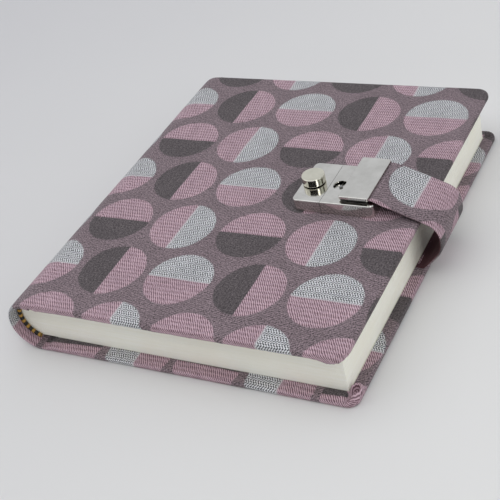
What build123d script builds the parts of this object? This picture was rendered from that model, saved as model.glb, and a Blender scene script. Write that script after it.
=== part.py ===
from build123d import *
import os
from math import asin, atan2, cos, degrees, pi, sin, tan

os.makedirs("parts", exist_ok=True)

# A case-bound diary lies closed on its back cover, in millimetres. X runs from the spine
# to the fore edge, Y from the tail to the head, Z up. The origin is under the middle.

# Case
cover_height = 183.0
front_width = 145.8
back_overhang = 0.6
book_thickness = 26.2
board_thickness = 2.0
cloth_thickness = 0.35
endpaper_thickness = 0.15
turn_in_width = 14.0
cover_corner_radius = 5.0
joint_width = 3.5
hinge_offset = 1.0
spine_card_thickness = 0.5
spine_card_half_angle = 72.0
fold_angle_margin = 2.0
quarter_turn = 90.0

# Text block
head_square = 6.35
fore_edge_square = 4.95
flyleaf_thickness = 0.2
section_count = 10
back_round_radius = 11.3
mull_thickness = 0.4
mull_margin = 12.0
tape_thickness = 0.4
tape_width = 12.0
tape_pitch = 46.0
tape_count = 3
headband_radius = 1.1
headband_half_angle = 60.0

# Strap
strap_thickness = 1.1
strap_width = 28.0
strap_end_width = 27.5
strap_centre_y = 1.9
strap_bulge = 8.6
strap_tail_length = 30.0
strap_rise_inset = 1.3
strap_rise_angle = 50.0
strap_tail_radius = 6.0
strap_fold_reach = 0.3
strap_lower_radius = 9.0
strap_upper_radius = 8.0
strap_over_cover = 0.8
strap_level_run = 1.5
strap_level_radius = 9.0
strap_core_thickness = 0.4
strap_core_length = 16.0
strap_core_width = 20.0

# Lock
lock_from_fore_edge = 18.9
lock_length = 37.1
lock_width = 27.6
lock_height = 5.7
lock_centre_y = 2.3
lock_wall = 0.6
lock_corner_radius = 2.4
lock_edge_round = 0.45
slide_length = 13.1
slide_travel = 3.0
keyhole_radius = 3.2
keyhole_from_left = 17.7
keyhole_y = 1.4
lock_rivet_radius = 1.1
lock_rivet_head_radius = 1.8
lock_rivet_head_height = 0.5
lock_rivet_inset_x = 4.2
lock_rivet_inset_y = 4.3
washer_radius = 3.0

# Knob and latch
knob_from_left = 5.3
knob_y = 1.9
knob_cap_radius = 5.05
knob_cap_height = 3.7
knob_neck_radius = 3.0
knob_neck_height = 0.45
knob_edge_round = 0.35
knob_stud_reach = 1.8
knob_stud_radius = 1.5
bolt_thickness = 1.2
bolt_lift = 2.3
bolt_low_y = -6.5
bolt_high_y = 9.0
bolt_shoulder_from_left = 22.0
bolt_nose_width = 4.0
bolt_nose_overlap = 0.6
guide_wall = 0.8
guide_lip = 1.1
guide_cap = 0.5
guide_length = 9.0
guide_from_left = 11.5
key_post_radius = 0.8
key_post_height = 5.2
key_cam_radius = 5.4
key_cam_thickness = 0.8
key_cam_gap = 0.2
cam_pin_radius = 0.6
cam_pin_reach = 4.2
cam_pin_slack = 0.15
key_bit_width = 1.2
key_bit_reach = 2.7
spring_y = -3.6
spring_seat_from_left = 6.8
spring_wire_radius = 0.2
spring_radius = 1.1
spring_turns = 4
spring_post_thickness = 0.8
spring_post_width = 3.6
spring_post_height = 4.2

# Hasp
hasp_from_lock_left = 21.1
hasp_length = 13.3
hasp_width = 29.1
hasp_centre_y = 5.05
hasp_sheet = 0.6
hasp_lip = 1.6
hasp_corner_radius = 1.0
hasp_crimp = 0.5
hasp_base_thickness = 0.45
hasp_rivet_radius = 0.9
hasp_rivet_head_radius = 1.5
hasp_rivet_pitch = 16.0
hook_thickness = 1.2
hook_width = 7.0
hook_from_hasp_left = 3.6
hook_tip_lift = 1.4
hook_window_side = 1.2
hook_slot_side = 0.4
hook_slot_reach = 1.6

# Clearances and one overrun for cuts
moving_gap = 0.3
running_gap = 0.15
seam_gap = 0.15
rivet_gap = 0.03
overrun = 1.0

# Places that several pieces share
back_width = front_width + back_overhang
spine_radius = book_thickness / 2
overall_length = spine_radius + back_width + strap_bulge
spine_x = spine_radius - overall_length / 2
hinge_x = spine_x + hinge_offset
board_x = hinge_x + joint_width
front_edge_x = spine_x + front_width
back_edge_x = spine_x + back_width
page_edge_x = back_edge_x - fore_edge_square
half_height = cover_height / 2
half_page = half_height - head_square
board_top = cloth_thickness + board_thickness
turn_in_top = board_top + cloth_thickness
cover_stack = turn_in_top + endpaper_thickness
block_bottom = cover_stack
block_top = book_thickness - cover_stack - moving_gap
mid_plane = Plane.XY.offset(book_thickness / 2)

parts = {}


def block(x0, x1, y0, y1, z0, z1):
    """A box between two corners."""
    return Pos((x0 + x1) / 2, (y0 + y1) / 2, (z0 + z1) / 2) * Box(x1 - x0, y1 - y0, z1 - z0)


def rod(x, y, z0, z1, radius):
    """An upright cylinder."""
    return Pos(x, y, (z0 + z1) / 2) * Cylinder(radius, z1 - z0)


def rounded_plate(x0, x1, half, z0, z1, radius):
    """A plate whose two corners at the fore edge are rounded."""
    plate = block(x0, x1, -half, half, z0, z1)
    corners = plate.edges().filter_by(Axis.Z).group_by(Axis.X)[-1]
    return fillet(corners, radius)


def round_shell(inner, outer, half_angle, half_length):
    """A strip of tube about the spine's centre line, open towards the fore edge."""
    with BuildSketch(Plane.XZ) as section:
        with Locations((spine_x, book_thickness / 2)):
            with BuildLine():
                arc_out = CenterArc((0, 0), outer, 180 - half_angle, 2 * half_angle)
                arc_in = CenterArc((0, 0), inner, 180 - half_angle, 2 * half_angle)
                Line(arc_out @ 0, arc_in @ 0)
                Line(arc_out @ 1, arc_in @ 1)
            make_face()
    face = Pos(spine_x, 0, book_thickness / 2) * section.sketch
    return extrude(face, half_length, both=True)


# Covers


def joint_strip(x0, x1):
    """The cloth between a board and the spine, doubled by its turn-ins at both ends."""
    strip = block(x0, x1, -half_height, half_height, 0, cloth_thickness)
    for side in (-1, 1):
        end = side * half_height
        fold = end - side * turn_in_width
        strip += block(x0, x1, min(end, fold), max(end, fold), 0, 2 * cloth_thickness)
    return strip


def cover_layers(width):
    """Cloth with turn-ins, board, infill sheet and pastedown of one cover, face down."""
    edge = spine_x + width
    inner_edge = edge - cloth_thickness
    inner_half = half_height - cloth_thickness
    inner_radius = cover_corner_radius - cloth_thickness
    window_edge = edge - turn_in_width
    window_half = half_height - turn_in_width
    sleeve = rounded_plate(board_x, edge, half_height, 0, turn_in_top, cover_corner_radius)
    board = rounded_plate(
        board_x, inner_edge, inner_half, cloth_thickness, board_top, inner_radius
    )
    window = block(
        board_x - overrun, window_edge, -window_half, window_half,
        board_top, turn_in_top + overrun,
    )
    infill = block(board_x, window_edge, -window_half, window_half, board_top, turn_in_top)
    pastedown = block(board_x, page_edge_x, -half_page, half_page, turn_in_top, cover_stack)
    cloth = sleeve - board - window + joint_strip(hinge_x, board_x)
    layers = {"cover_cloth": cloth, "board": board, "infill": infill}
    layers["pastedown"] = pastedown
    return layers


for name, solid in cover_layers(back_width).items():
    parts["back_" + name] = solid
for name, solid in cover_layers(front_width).items():
    parts["front_" + name] = mirror(solid, about=mid_plane)

# The spine's cloth runs on past the round to the line that each cover turns about. Its
# ends are folded in over the card.
card_outer = spine_radius - cloth_thickness
card_inner = card_outer - spine_card_thickness
spine_card = round_shell(
    card_inner, card_outer, spine_card_half_angle, half_height - cloth_thickness
)
spine_folds = round_shell(
    spine_radius - 2 * cloth_thickness, spine_radius, quarter_turn, half_height
)
fold_half_angle = spine_card_half_angle + fold_angle_margin
spine_folds += round_shell(
    card_inner - cloth_thickness, spine_radius, fold_half_angle, half_height
)
fold_window = half_height - turn_in_width
spine_folds -= Pos(spine_x, 0, book_thickness / 2) * Rot(quarter_turn, 0, 0) * Cylinder(
    card_outer, 2 * fold_window
)
back_flange = joint_strip(spine_x, hinge_x)
parts["spine_cloth"] = (
    spine_folds - spine_card + back_flange + mirror(back_flange, about=mid_plane)
)
parts["spine_card"] = spine_card
parts["front_cover_cloth"] -= block(
    hinge_x - overrun, hinge_x + moving_gap / 2,
    -half_height - overrun, half_height + overrun,
    book_thickness - turn_in_top - overrun, book_thickness + overrun,
)

# Text block


def text_block():
    """The whole block, with its rounded back, between the two flyleaves."""
    low = block_bottom + flyleaf_thickness
    high = block_top - flyleaf_thickness
    back = Pos(spine_x, 0, book_thickness / 2) * Rot(quarter_turn, 0, 0) * Cylinder(
        back_round_radius, 2 * half_page
    )
    slab = block(spine_x - spine_radius, spine_x, -half_page, half_page, low, high)
    pages = block(spine_x, page_edge_x, -half_page, half_page, low, high)
    return (back & slab) + pages, low, high


pages, pages_low, pages_high = text_block()
section_thickness = (pages_high - pages_low - moving_gap) / section_count
half_count = section_count // 2
fold_half = spine_x - spine_radius
front_folds = []
for index in range(section_count):
    is_front = index >= half_count
    base = pages_low + index * section_thickness + (moving_gap if is_front else 0)
    slab_y = half_page + overrun
    top = base + section_thickness
    if is_front:
        leaves = block(hinge_x + moving_gap, page_edge_x, -half_page, half_page, base, top)
        parts[f"front_leaves_{section_count - index}"] = leaves
        folds = pages & block(fold_half, hinge_x, -slab_y, slab_y, base, top)
        front_folds.append(folds)
    else:
        section = pages & block(fold_half, page_edge_x, -slab_y, slab_y, base, top)
        parts[f"back_section_{index + 1}"] = section
parts["front_section_folds"] = Compound(children=[Compound(f.wrapped) for f in front_folds])

leaf_edge = page_edge_x
parts["front_flyleaf"] = block(
    hinge_x + moving_gap, leaf_edge, -half_page, half_page,
    block_top - flyleaf_thickness, block_top,
)
parts["back_flyleaf"] = block(
    hinge_x, leaf_edge, -half_page, half_page, block_bottom, block_bottom + flyleaf_thickness
)

# The mull covers the folds, and the tapes lie over it.
mull_outer = back_round_radius + mull_thickness
parts["mull"] = round_shell(
    back_round_radius, mull_outer, headband_half_angle, half_page - mull_margin
)
tapes = []
for index in range(tape_count):
    strip = round_shell(
        mull_outer, mull_outer + tape_thickness, headband_half_angle, tape_width / 2
    )
    tapes.append(Pos(0, (index - (tape_count - 1) / 2) * tape_pitch, 0) * strip)
parts["sewing_tapes"] = Compound(children=tapes)


def headband(side):
    """A corded band worked over the folds at one end of the block."""
    ring_radius = back_round_radius - headband_radius / 2
    section = Plane.XY * Pos(-ring_radius, 0) * Circle(headband_radius)
    band = revolve(section, Axis.Y, 2 * headband_half_angle)
    band = Rot(0, -headband_half_angle, 0) * band
    return Pos(spine_x, side * (half_page + headband_radius), book_thickness / 2) * band


parts["head_band"] = headband(1)
parts["tail_band"] = headband(-1)

# Lock

lock_end_x = front_edge_x - lock_from_fore_edge
lock_x = lock_end_x - lock_length
seam_x = lock_x + slide_length
deck = book_thickness
lock_top = deck + lock_height
lock_low_y = lock_centre_y - lock_width / 2
lock_high_y = lock_centre_y + lock_width / 2
base_top = deck + lock_wall
keyhole_x = lock_x + keyhole_from_left
knob_x = lock_x + knob_from_left
hasp_x = lock_x + hasp_from_lock_left
hasp_end_x = hasp_x + hasp_length
hook_x = hasp_x + hook_from_hasp_left
bolt_low = deck + bolt_lift
bolt_high = bolt_low + bolt_thickness
rivet_places = [
    (x, y)
    for x in (lock_x + lock_rivet_inset_x, lock_end_x - lock_rivet_inset_x)
    for y in (lock_low_y + lock_rivet_inset_y, lock_high_y - lock_rivet_inset_y)
]


def lock_shell(x0, x1, bottom, rounded_end, open_end):
    """A pressed sheet shell, open below and at the seam."""
    outer = block(x0, x1, lock_low_y, lock_high_y, bottom, lock_top)
    side = outer.edges().filter_by(Axis.Z).group_by(Axis.X)[rounded_end]
    outer = fillet(side, lock_corner_radius)
    rim = outer.faces().sort_by(Axis.Z)[-1].edges()
    seam = [e for e in rim if abs(e.center().X - (x1 if open_end == 1 else x0)) < seam_gap]
    outer = fillet([e for e in rim if e not in seam], lock_edge_round)
    inner_x0 = x0 + (lock_wall if open_end == 1 else -overrun)
    inner_x1 = x1 + (overrun if open_end == 1 else -lock_wall)
    inner = block(
        inner_x0, inner_x1, lock_low_y + lock_wall, lock_high_y - lock_wall,
        bottom - overrun, lock_top - lock_wall,
    )
    corners = inner.edges().filter_by(Axis.Z).group_by(Axis.X)[rounded_end]
    return outer - fillet(corners, lock_corner_radius - lock_wall)


slide_shell = lock_shell(lock_x, seam_x - seam_gap / 2, deck + running_gap, 0, 1)
stud_room = knob_stud_radius + rivet_gap
parts["release_slide"] = slide_shell - rod(
    knob_x, knob_y, bolt_high, lock_top + overrun, stud_room
)
hook_slot = block(
    hook_x - hook_slot_side, hook_x + hook_thickness + hook_slot_reach,
    hasp_centre_y - hook_width / 2 - hook_slot_side,
    hasp_centre_y + hook_width / 2 + hook_slot_side,
    bolt_high, lock_top + overrun,
)
case_shell = lock_shell(seam_x + seam_gap / 2, lock_end_x, deck, -1, 0)
keyhole = rod(keyhole_x, keyhole_y, bolt_high, lock_top + overrun, keyhole_radius)
parts["lock_case"] = case_shell - keyhole - hook_slot

inner_radius = lock_corner_radius - lock_wall
slide_plate = block(
    lock_x + lock_wall + moving_gap, seam_x + moving_gap,
    lock_low_y + lock_wall + running_gap, lock_high_y - lock_wall - running_gap,
    deck, base_top,
)
slide_plate = fillet(slide_plate.edges().filter_by(Axis.Z).group_by(Axis.X)[0], inner_radius)
case_plate = block(
    seam_x + moving_gap, lock_end_x - lock_wall,
    lock_low_y + lock_wall, lock_high_y - lock_wall, deck, base_top,
)
case_plate = fillet(case_plate.edges().filter_by(Axis.Z).group_by(Axis.X)[-1], inner_radius)


def bolt_guide(edge_y, inward):
    """A channel that carries one long edge of the bolt and keeps it from lifting."""
    x0 = lock_x + guide_from_left
    x1 = x0 + guide_length
    wall_in = edge_y - inward * running_gap
    wall_out = wall_in - inward * guide_wall
    lip = edge_y + inward * guide_lip
    low, high = min(wall_out, lip), max(wall_out, lip)
    shelf = block(x0, x1, low, high, base_top, bolt_low - running_gap)
    side = block(
        x0, x1, min(wall_in, wall_out), max(wall_in, wall_out),
        base_top, bolt_high + running_gap,
    )
    cap = block(
        x0, x1, low, high, bolt_high + running_gap, bolt_high + running_gap + guide_cap
    )
    return shelf + side + cap


base_plate = slide_plate + case_plate
base_plate += bolt_guide(bolt_low_y, 1)
base_plate += bolt_guide(bolt_high_y, -1)
lock_holes = [
    rod(x, y, deck - cover_stack, base_top + overrun, lock_rivet_radius + rivet_gap)
    for x, y in rivet_places
]
parts["lock_base"] = base_plate - lock_holes
washer_low = book_thickness - turn_in_top
washer_high = book_thickness - board_top
washers = [rod(x, y, washer_low, washer_high, washer_radius) for x, y in rivet_places]
shaft_low = washer_low
for name in ("front_cover_cloth", "front_board", "front_infill"):
    parts[name] -= lock_holes
parts["front_infill"] -= washers
parts["lock_rivet_washers"] = Compound(children=[w - lock_holes for w in washers])
parts["lock_rivets"] = Compound(children=[
    rod(x, y, shaft_low, base_top, lock_rivet_radius)
    + rod(x, y, base_top, base_top + lock_rivet_head_height, lock_rivet_head_radius)
    for x, y in rivet_places
])


def knob():
    """A turned knob: a disc cap on a short neck, bored for its stud."""
    cap_low = lock_top + knob_neck_height
    cap = rod(knob_x, knob_y, cap_low, cap_low + knob_cap_height, knob_cap_radius)
    cap = fillet(cap.edges().filter_by(GeomType.CIRCLE), knob_edge_round)
    neck = rod(knob_x, knob_y, lock_top, cap_low + knob_edge_round, knob_neck_radius)
    bore = rod(knob_x, knob_y, lock_top - overrun, cap_low + knob_stud_reach, stud_room)
    return cap + neck - bore


parts["knob"] = knob()
stud_top = lock_top + knob_neck_height + knob_stud_reach - rivet_gap
parts["knob_stud"] = rod(knob_x, knob_y, bolt_high, stud_top, knob_stud_radius)

# The bolt slides with the knob, whose stud stands on its tongue. Its nose passes through
# the hook's window.
bolt_x = lock_x + spring_seat_from_left
tongue_half = knob_stud_radius + lock_wall
shoulder_x = lock_x + bolt_shoulder_from_left
nose_x = hook_x + hook_thickness + bolt_nose_overlap
bolt = block(bolt_x, shoulder_x, bolt_low_y, bolt_high_y, bolt_low, bolt_high)
bolt += block(
    knob_x - tongue_half, shoulder_x, knob_y - tongue_half, knob_y + tongue_half,
    bolt_low, bolt_high,
)
bolt += block(
    shoulder_x, nose_x, hasp_centre_y - bolt_nose_width / 2,
    hasp_centre_y + bolt_nose_width / 2, bolt_low, bolt_high,
)
post_room = key_post_radius + cam_pin_slack
post_slot = block(
    keyhole_x - post_room, keyhole_x + slide_travel + post_room,
    keyhole_y - post_room, keyhole_y + post_room, bolt_low - overrun, bolt_high + overrun,
)
cam_swing = 2 * asin(slide_travel / 2 / cam_pin_reach)
pin_x = keyhole_x + slide_travel / 2
pin_y = keyhole_y - cam_pin_reach * cos(cam_swing / 2)
pin_room = cam_pin_radius + cam_pin_slack
pin_rise = cam_pin_reach - cam_pin_reach * cos(cam_swing / 2)
pin_slot = block(
    pin_x - pin_room, pin_x + pin_room,
    pin_y - pin_rise - pin_room - cam_pin_slack, pin_y + pin_room,
    bolt_low - overrun, bolt_high + overrun,
)
parts["latch_bolt"] = bolt - post_slot - pin_slot

cam_low = bolt_high + key_cam_gap
cam = rod(keyhole_x, keyhole_y, cam_low, cam_low + key_cam_thickness, key_cam_radius)
cam -= rod(
    keyhole_x, keyhole_y, cam_low - overrun, cam_low + key_cam_thickness + overrun,
    key_post_radius + rivet_gap,
)
cam -= block(
    keyhole_x - key_bit_width / 2, keyhole_x + key_bit_width / 2,
    keyhole_y, keyhole_y + key_bit_reach,
    cam_low - overrun, cam_low + key_cam_thickness + overrun,
)
parts["key_cam"] = cam + rod(pin_x, pin_y, bolt_low, cam_low + key_cam_thickness, cam_pin_radius)
parts["key_post"] = rod(keyhole_x, keyhole_y, base_top, deck + key_post_height, key_post_radius)

post_x = lock_x + lock_wall + moving_gap
post_end = post_x + spring_post_thickness
parts["spring_post"] = block(
    post_x, post_end, spring_y - spring_post_width / 2, spring_y + spring_post_width / 2,
    base_top, deck + spring_post_height,
)
spring_length = bolt_x - post_end - 2 * (spring_wire_radius + rivet_gap)
spring_z = (bolt_low + bolt_high) / 2
coil = Helix(spring_length / spring_turns, spring_length, spring_radius)
wire = sweep(Plane(coil @ 0, z_dir=coil % 0) * Circle(spring_wire_radius), path=coil, is_frenet=True)
parts["latch_spring"] = Pos(
    post_end + spring_wire_radius + rivet_gap, spring_y, spring_z
) * Rot(0, 90, 0) * wire

# Hasp

hasp_base_low = lock_top + moving_gap
hasp_base_high = hasp_base_low + hasp_base_thickness
strap_end_high = hasp_base_high + strap_thickness
hasp_top = strap_end_high + hasp_sheet
hasp_low_y = hasp_centre_y - hasp_width / 2
hasp_high_y = hasp_centre_y + hasp_width / 2
tray = block(hasp_x, hasp_end_x, hasp_low_y, hasp_high_y, hasp_top - hasp_lip, hasp_top)
tray = fillet(tray.edges().filter_by(Axis.Z), hasp_corner_radius)
tray = fillet(tray.faces().sort_by(Axis.Z)[-1].edges(), lock_edge_round)
tray -= block(
    hasp_x + hasp_sheet, hasp_end_x - hasp_sheet, hasp_low_y + hasp_sheet,
    hasp_high_y - hasp_sheet, hasp_top - hasp_lip - overrun, strap_end_high,
)
crimp_top = strap_end_high - hasp_crimp
crimp = block(
    hasp_end_x - hasp_sheet, hasp_end_x + overrun, hasp_low_y + hasp_sheet,
    hasp_high_y - hasp_sheet, hasp_base_low - overrun, crimp_top,
)
tray -= crimp
hasp_base = block(
    hasp_x + hasp_sheet, hasp_end_x - hasp_sheet, hasp_low_y + hasp_sheet,
    hasp_high_y - hasp_sheet, hasp_base_low, hasp_base_high,
)
hook_tip = deck + hook_tip_lift
hook = block(
    hook_x, hook_x + hook_thickness, hasp_centre_y - hook_width / 2,
    hasp_centre_y + hook_width / 2, hook_tip, hasp_base_low,
)
hook -= block(
    hook_x - overrun, hook_x + hook_thickness + overrun,
    hasp_centre_y - hook_width / 2 + hook_window_side,
    hasp_centre_y + hook_width / 2 - hook_window_side,
    bolt_low - moving_gap, bolt_high + moving_gap,
)
parts["hasp_hook"] = hook
hasp_rivet_x = (hasp_x + hasp_end_x) / 2 + hasp_rivet_head_radius
hasp_rivet_places = [
    (hasp_rivet_x, hasp_centre_y + side * hasp_rivet_pitch / 2) for side in (-1, 1)
]
hasp_holes = [
    rod(x, y, hasp_base_low - overrun, strap_end_high, hasp_rivet_radius + rivet_gap)
    for x, y in hasp_rivet_places
]
parts["hasp_plate"] = tray
parts["hasp_base"] = hasp_base - hasp_holes
parts["hasp_rivets"] = Compound(children=[
    rod(x, y, hasp_base_low, strap_end_high, hasp_rivet_radius) for x, y in hasp_rivet_places
])

# Strap

strap_x = back_edge_x + strap_bulge - strap_thickness / 2
tail_z = turn_in_top - strap_thickness / 2
level_z = hasp_base_high + strap_thickness / 2
level_x = lock_end_x - strap_level_run
edge_z = deck + strap_over_cover + strap_thickness / 2
slope = atan2(level_z - edge_z, front_edge_x - level_x)
corner_z = level_z - (strap_x - level_x) * tan(slope)
rise = strap_rise_angle * pi / 180
rise_x = back_edge_x - strap_rise_inset
rise_end_z = tail_z + (strap_x - rise_x) * tan(rise)
fold_reach = strap_tail_radius * tan(rise / 2) + strap_fold_reach
fold_x = rise_x + fold_reach * cos(rise)
fold_z = tail_z + fold_reach * sin(rise)
turn_up = pi / 2
turn_over = pi / 2 - slope
over_cut = strap_upper_radius * tan(turn_over / 2)
lift_reach = over_cut + seam_gap
lift_x = strap_x - lift_reach * cos(slope)
lift_z = corner_z + lift_reach * sin(slope)


def offset_corner(x, z, before, after, distance):
    """Moves a corner of the strap's line sideways, so that both its runs shift."""
    middle = (before + after) / 2
    reach = distance / cos((after - before) / 2)
    return x - reach * sin(middle), z + reach * cos(middle)


def strap_band(line, width_prism):
    """Thickens a line of points, headings and radii into a strip, and trims its width."""
    sides = []
    for distance in (-strap_thickness / 2, strap_thickness / 2):
        points, radii = [], []
        for x, z, before, after, radius in line:
            points.append(offset_corner(x, z, before, after, distance))
            if radius:
                radii.append(radius - distance if after > before else radius + distance)
        sides.append((points, radii))
    with BuildSketch(Plane.XZ) as section:
        with BuildLine():
            for points, radii in sides:
                if radii:
                    FilletPolyline(*points, radius=radii)
                else:
                    Line(*points)
            Line(sides[0][0][0], sides[1][0][0])
            Line(sides[0][0][-1], sides[1][0][-1])
        make_face()
    return extrude(section.sketch, cover_height, both=True) & width_prism


def width_prism(outline):
    """An upright prism over a plan outline."""
    face = make_face(Polyline(*outline, close=True))
    return extrude(face, 2 * (hasp_top + overrun))


low_y = strap_centre_y - strap_width / 2
high_y = strap_centre_y + strap_width / 2
tail_x = back_edge_x - strap_tail_length
bend_prism = width_prism([
    (tail_x - overrun, low_y), (strap_x + strap_bulge, low_y),
    (strap_x + strap_bulge, high_y), (tail_x - overrun, high_y),
])
gap_share = seam_gap / 2
tail_line = [
    (tail_x, tail_z, 0, 0, 0),
    (rise_x, tail_z, 0, rise, strap_tail_radius),
    (fold_x - gap_share * cos(rise), fold_z - gap_share * sin(rise), rise, rise, 0),
]
parts["strap_tail"] = strap_band(tail_line, bend_prism)
for name in ("back_cover_cloth", "back_board", "back_infill"):
    parts[name] -= parts["strap_tail"]

heading_in = pi - slope
bend_line = [
    (fold_x + gap_share * cos(rise), fold_z + gap_share * sin(rise), rise, rise, 0),
    (strap_x, rise_end_z, rise, turn_up, strap_lower_radius),
    (strap_x, corner_z, turn_up, heading_in, strap_upper_radius),
    (lift_x + gap_share * cos(slope), lift_z - gap_share * sin(slope), heading_in, heading_in, 0),
]
parts["strap_bend"] = strap_band(bend_line, bend_prism)

end_low_y = hasp_centre_y - strap_end_width / 2
end_high_y = hasp_centre_y + strap_end_width / 2
end_prism = width_prism([
    (hasp_x, end_low_y), (hasp_end_x, end_low_y), (lift_x + overrun, low_y),
    (lift_x + overrun, high_y), (hasp_end_x, end_high_y), (hasp_x, end_high_y),
])
end_line = [
    (lift_x - gap_share * cos(slope), lift_z + gap_share * sin(slope), heading_in, heading_in, 0),
    (level_x, level_z, heading_in, pi, strap_level_radius),
    (hasp_x + hasp_sheet, level_z, pi, pi, 0),
]
core_mid_x = (lock_end_x + front_edge_x) / 2
core_mid_z = level_z - (core_mid_x - level_x) * tan(slope)
core = Pos(core_mid_x, (strap_centre_y + hasp_centre_y) / 2, core_mid_z) * Rot(
    0, degrees(slope), 0
) * Box(strap_core_length, strap_core_width, strap_core_thickness)
crimped = block(
    hasp_end_x - hasp_sheet, hasp_end_x, hasp_low_y, hasp_high_y, crimp_top, hasp_top
)
parts["strap_end"] = strap_band(end_line, end_prism) - core - hasp_holes - crimped
parts["strap_stiffener"] = core

lift_axis_x = lift_x + sin(slope) * strap_thickness / 2
lift_axis_z = lift_z + cos(slope) * strap_thickness / 2
print("front cover axis", round(hinge_x, 3), round(book_thickness, 3))
pivot_x = fold_x + sin(rise) * strap_thickness / 2
pivot_z = fold_z - cos(rise) * strap_thickness / 2
print("strap pivot", round(pivot_x, 3), round(pivot_z, 3))
print("hasp lift axis", round(lift_axis_x, 3), round(lift_axis_z, 3))
print("key post", round(keyhole_x, 3), keyhole_y, "cam swing", round(degrees(cam_swing), 3))
print("cam ratio, radians per metre", round(cam_swing / slide_travel * 1000, 3))
print("lock", round(lock_x, 3), "knob", round(knob_x, 3), knob_y, "hasp", round(hasp_x, 3))

for name, shape in parts.items():
    export_step(shape, f"parts/{name}.step")
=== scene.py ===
import math
import random

import bmesh
import bpy
from mathutils import Matrix, Vector, geometry, noise


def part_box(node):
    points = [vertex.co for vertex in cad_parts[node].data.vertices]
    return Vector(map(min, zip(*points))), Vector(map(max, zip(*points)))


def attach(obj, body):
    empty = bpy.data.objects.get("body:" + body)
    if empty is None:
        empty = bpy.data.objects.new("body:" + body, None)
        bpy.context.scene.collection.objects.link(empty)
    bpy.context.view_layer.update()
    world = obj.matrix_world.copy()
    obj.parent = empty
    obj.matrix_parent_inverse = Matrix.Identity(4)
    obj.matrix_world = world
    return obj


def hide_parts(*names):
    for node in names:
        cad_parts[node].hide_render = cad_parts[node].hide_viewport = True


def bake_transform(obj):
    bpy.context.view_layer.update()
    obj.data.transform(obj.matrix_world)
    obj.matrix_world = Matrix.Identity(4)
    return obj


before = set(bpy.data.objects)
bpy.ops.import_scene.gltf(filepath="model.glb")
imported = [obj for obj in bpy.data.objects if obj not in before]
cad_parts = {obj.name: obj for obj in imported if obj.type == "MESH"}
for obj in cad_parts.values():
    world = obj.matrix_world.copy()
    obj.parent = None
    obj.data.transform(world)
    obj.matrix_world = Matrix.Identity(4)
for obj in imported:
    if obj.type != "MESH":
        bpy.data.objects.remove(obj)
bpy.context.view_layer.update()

MM = 0.001

# Sizes that the CAD frame holds, in metres. X runs from the spine to the fore edge, Y from
# the tail to the head, and Z up from the back cover's outer face.
back_low, back_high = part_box("back_cover_cloth")
front_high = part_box("front_cover_cloth")[1]
spine_low, spine_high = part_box("spine_cloth")
top = front_high.z
half_height = front_high.y
back_edge = back_high.x
front_edge = front_high.x
spine_r = spine_high.z / 2
spine_x = spine_low.x + spine_r
hinge_x = back_low.x
stack = back_high.z
mid_z = spine_r


# Node materials

class Graph:
    """Short calls for building one material's node graph."""

    def __init__(self, name):
        self.mat = bpy.data.materials.new(name)
        self.mat.use_nodes = True
        self.nodes = self.mat.node_tree.nodes
        self.links = self.mat.node_tree.links
        self.shader = self.nodes["Principled BSDF"]

    def put(self, socket, value):
        if hasattr(value, "is_linked"):
            self.links.new(value, socket)
        else:
            socket.default_value = value

    def fill(self, node, values):
        """Put links or numbers into a node's first inputs, and give its first output."""
        for socket, value in zip(node.inputs, values):
            if value is not None:
                self.put(socket, value)
        return node.outputs[0]

    def math(self, operation, a, b=None, c=None, clamp=False):
        node = self.nodes.new("ShaderNodeMath")
        node.operation = operation
        node.use_clamp = clamp
        return self.fill(node, (a, b, c))

    def mix(self, share, a, b):
        node = self.nodes.new("ShaderNodeMix")
        node.data_type = "RGBA"
        for socket, value in zip((node.inputs[0], node.inputs[6], node.inputs[7]), (share, a, b)):
            self.put(socket, value)
        return node.outputs[2]

    def noise(self, vector, scale, detail=2.0, rough=0.5, colour=False):
        node = self.nodes.new("ShaderNodeTexNoise")
        self.put(node.inputs["Vector"], vector)
        node.inputs["Scale"].default_value = scale
        node.inputs["Detail"].default_value = detail
        node.inputs["Roughness"].default_value = rough
        return node.outputs["Color" if colour else "Fac"]

    def ramp(self, value, low, high, to_low=0.0, to_high=1.0):
        node = self.nodes.new("ShaderNodeMapRange")
        node.clamp = True
        return self.fill(node, (value, low, high, to_low, to_high))

    def split(self, vector):
        node = self.nodes.new("ShaderNodeSeparateXYZ")
        self.put(node.inputs[0], vector)
        return node.outputs

    def join(self, x, y, z):
        return self.fill(self.nodes.new("ShaderNodeCombineXYZ"), (x, y, z))

    def object_coords(self):
        return self.nodes.new("ShaderNodeTexCoord").outputs["Object"]

    def uv(self, layer):
        node = self.nodes.new("ShaderNodeUVMap")
        node.uv_map = layer
        return node.outputs[0]

    def layered(self, base, *layers):
        """A level plus shares of other levels."""
        for share, layer in layers:
            base = self.math("MULTIPLY_ADD", layer, share, base)
        return base

    def tone(self, level, low, high, tones):
        """One colour below a level and another above it, with a run between them."""
        return self.mix(self.ramp(level, low, high), rgb(*tones[0]), rgb(*tones[1]))

    def bump(self, height, distance, strength=1.0):
        node = self.nodes.new("ShaderNodeBump")
        node.inputs["Strength"].default_value = strength
        node.inputs["Distance"].default_value = distance
        self.put(node.inputs["Height"], height)
        return node.outputs[0]

    def finish(self, colour, roughness, normal=None, metallic=None, **constants):
        for label, value in (
            ("Base Color", colour), ("Roughness", roughness),
            ("Normal", normal), ("Metallic", metallic),
        ):
            if value is not None:
                self.put(self.shader.inputs[label], value)
        for label, value in constants.items():
            self.shader.inputs[label.replace("_", " ")].default_value = value
        return self.mat


def rgb(r, g, b):
    """A colour given in screen values, in the linear values that shaders take."""
    def line(v):
        v = v / 255
        return v / 12.92 if v <= 0.04045 else ((v + 0.055) / 1.055) ** 2.4
    return (line(r), line(g), line(b), 1.0)


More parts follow.
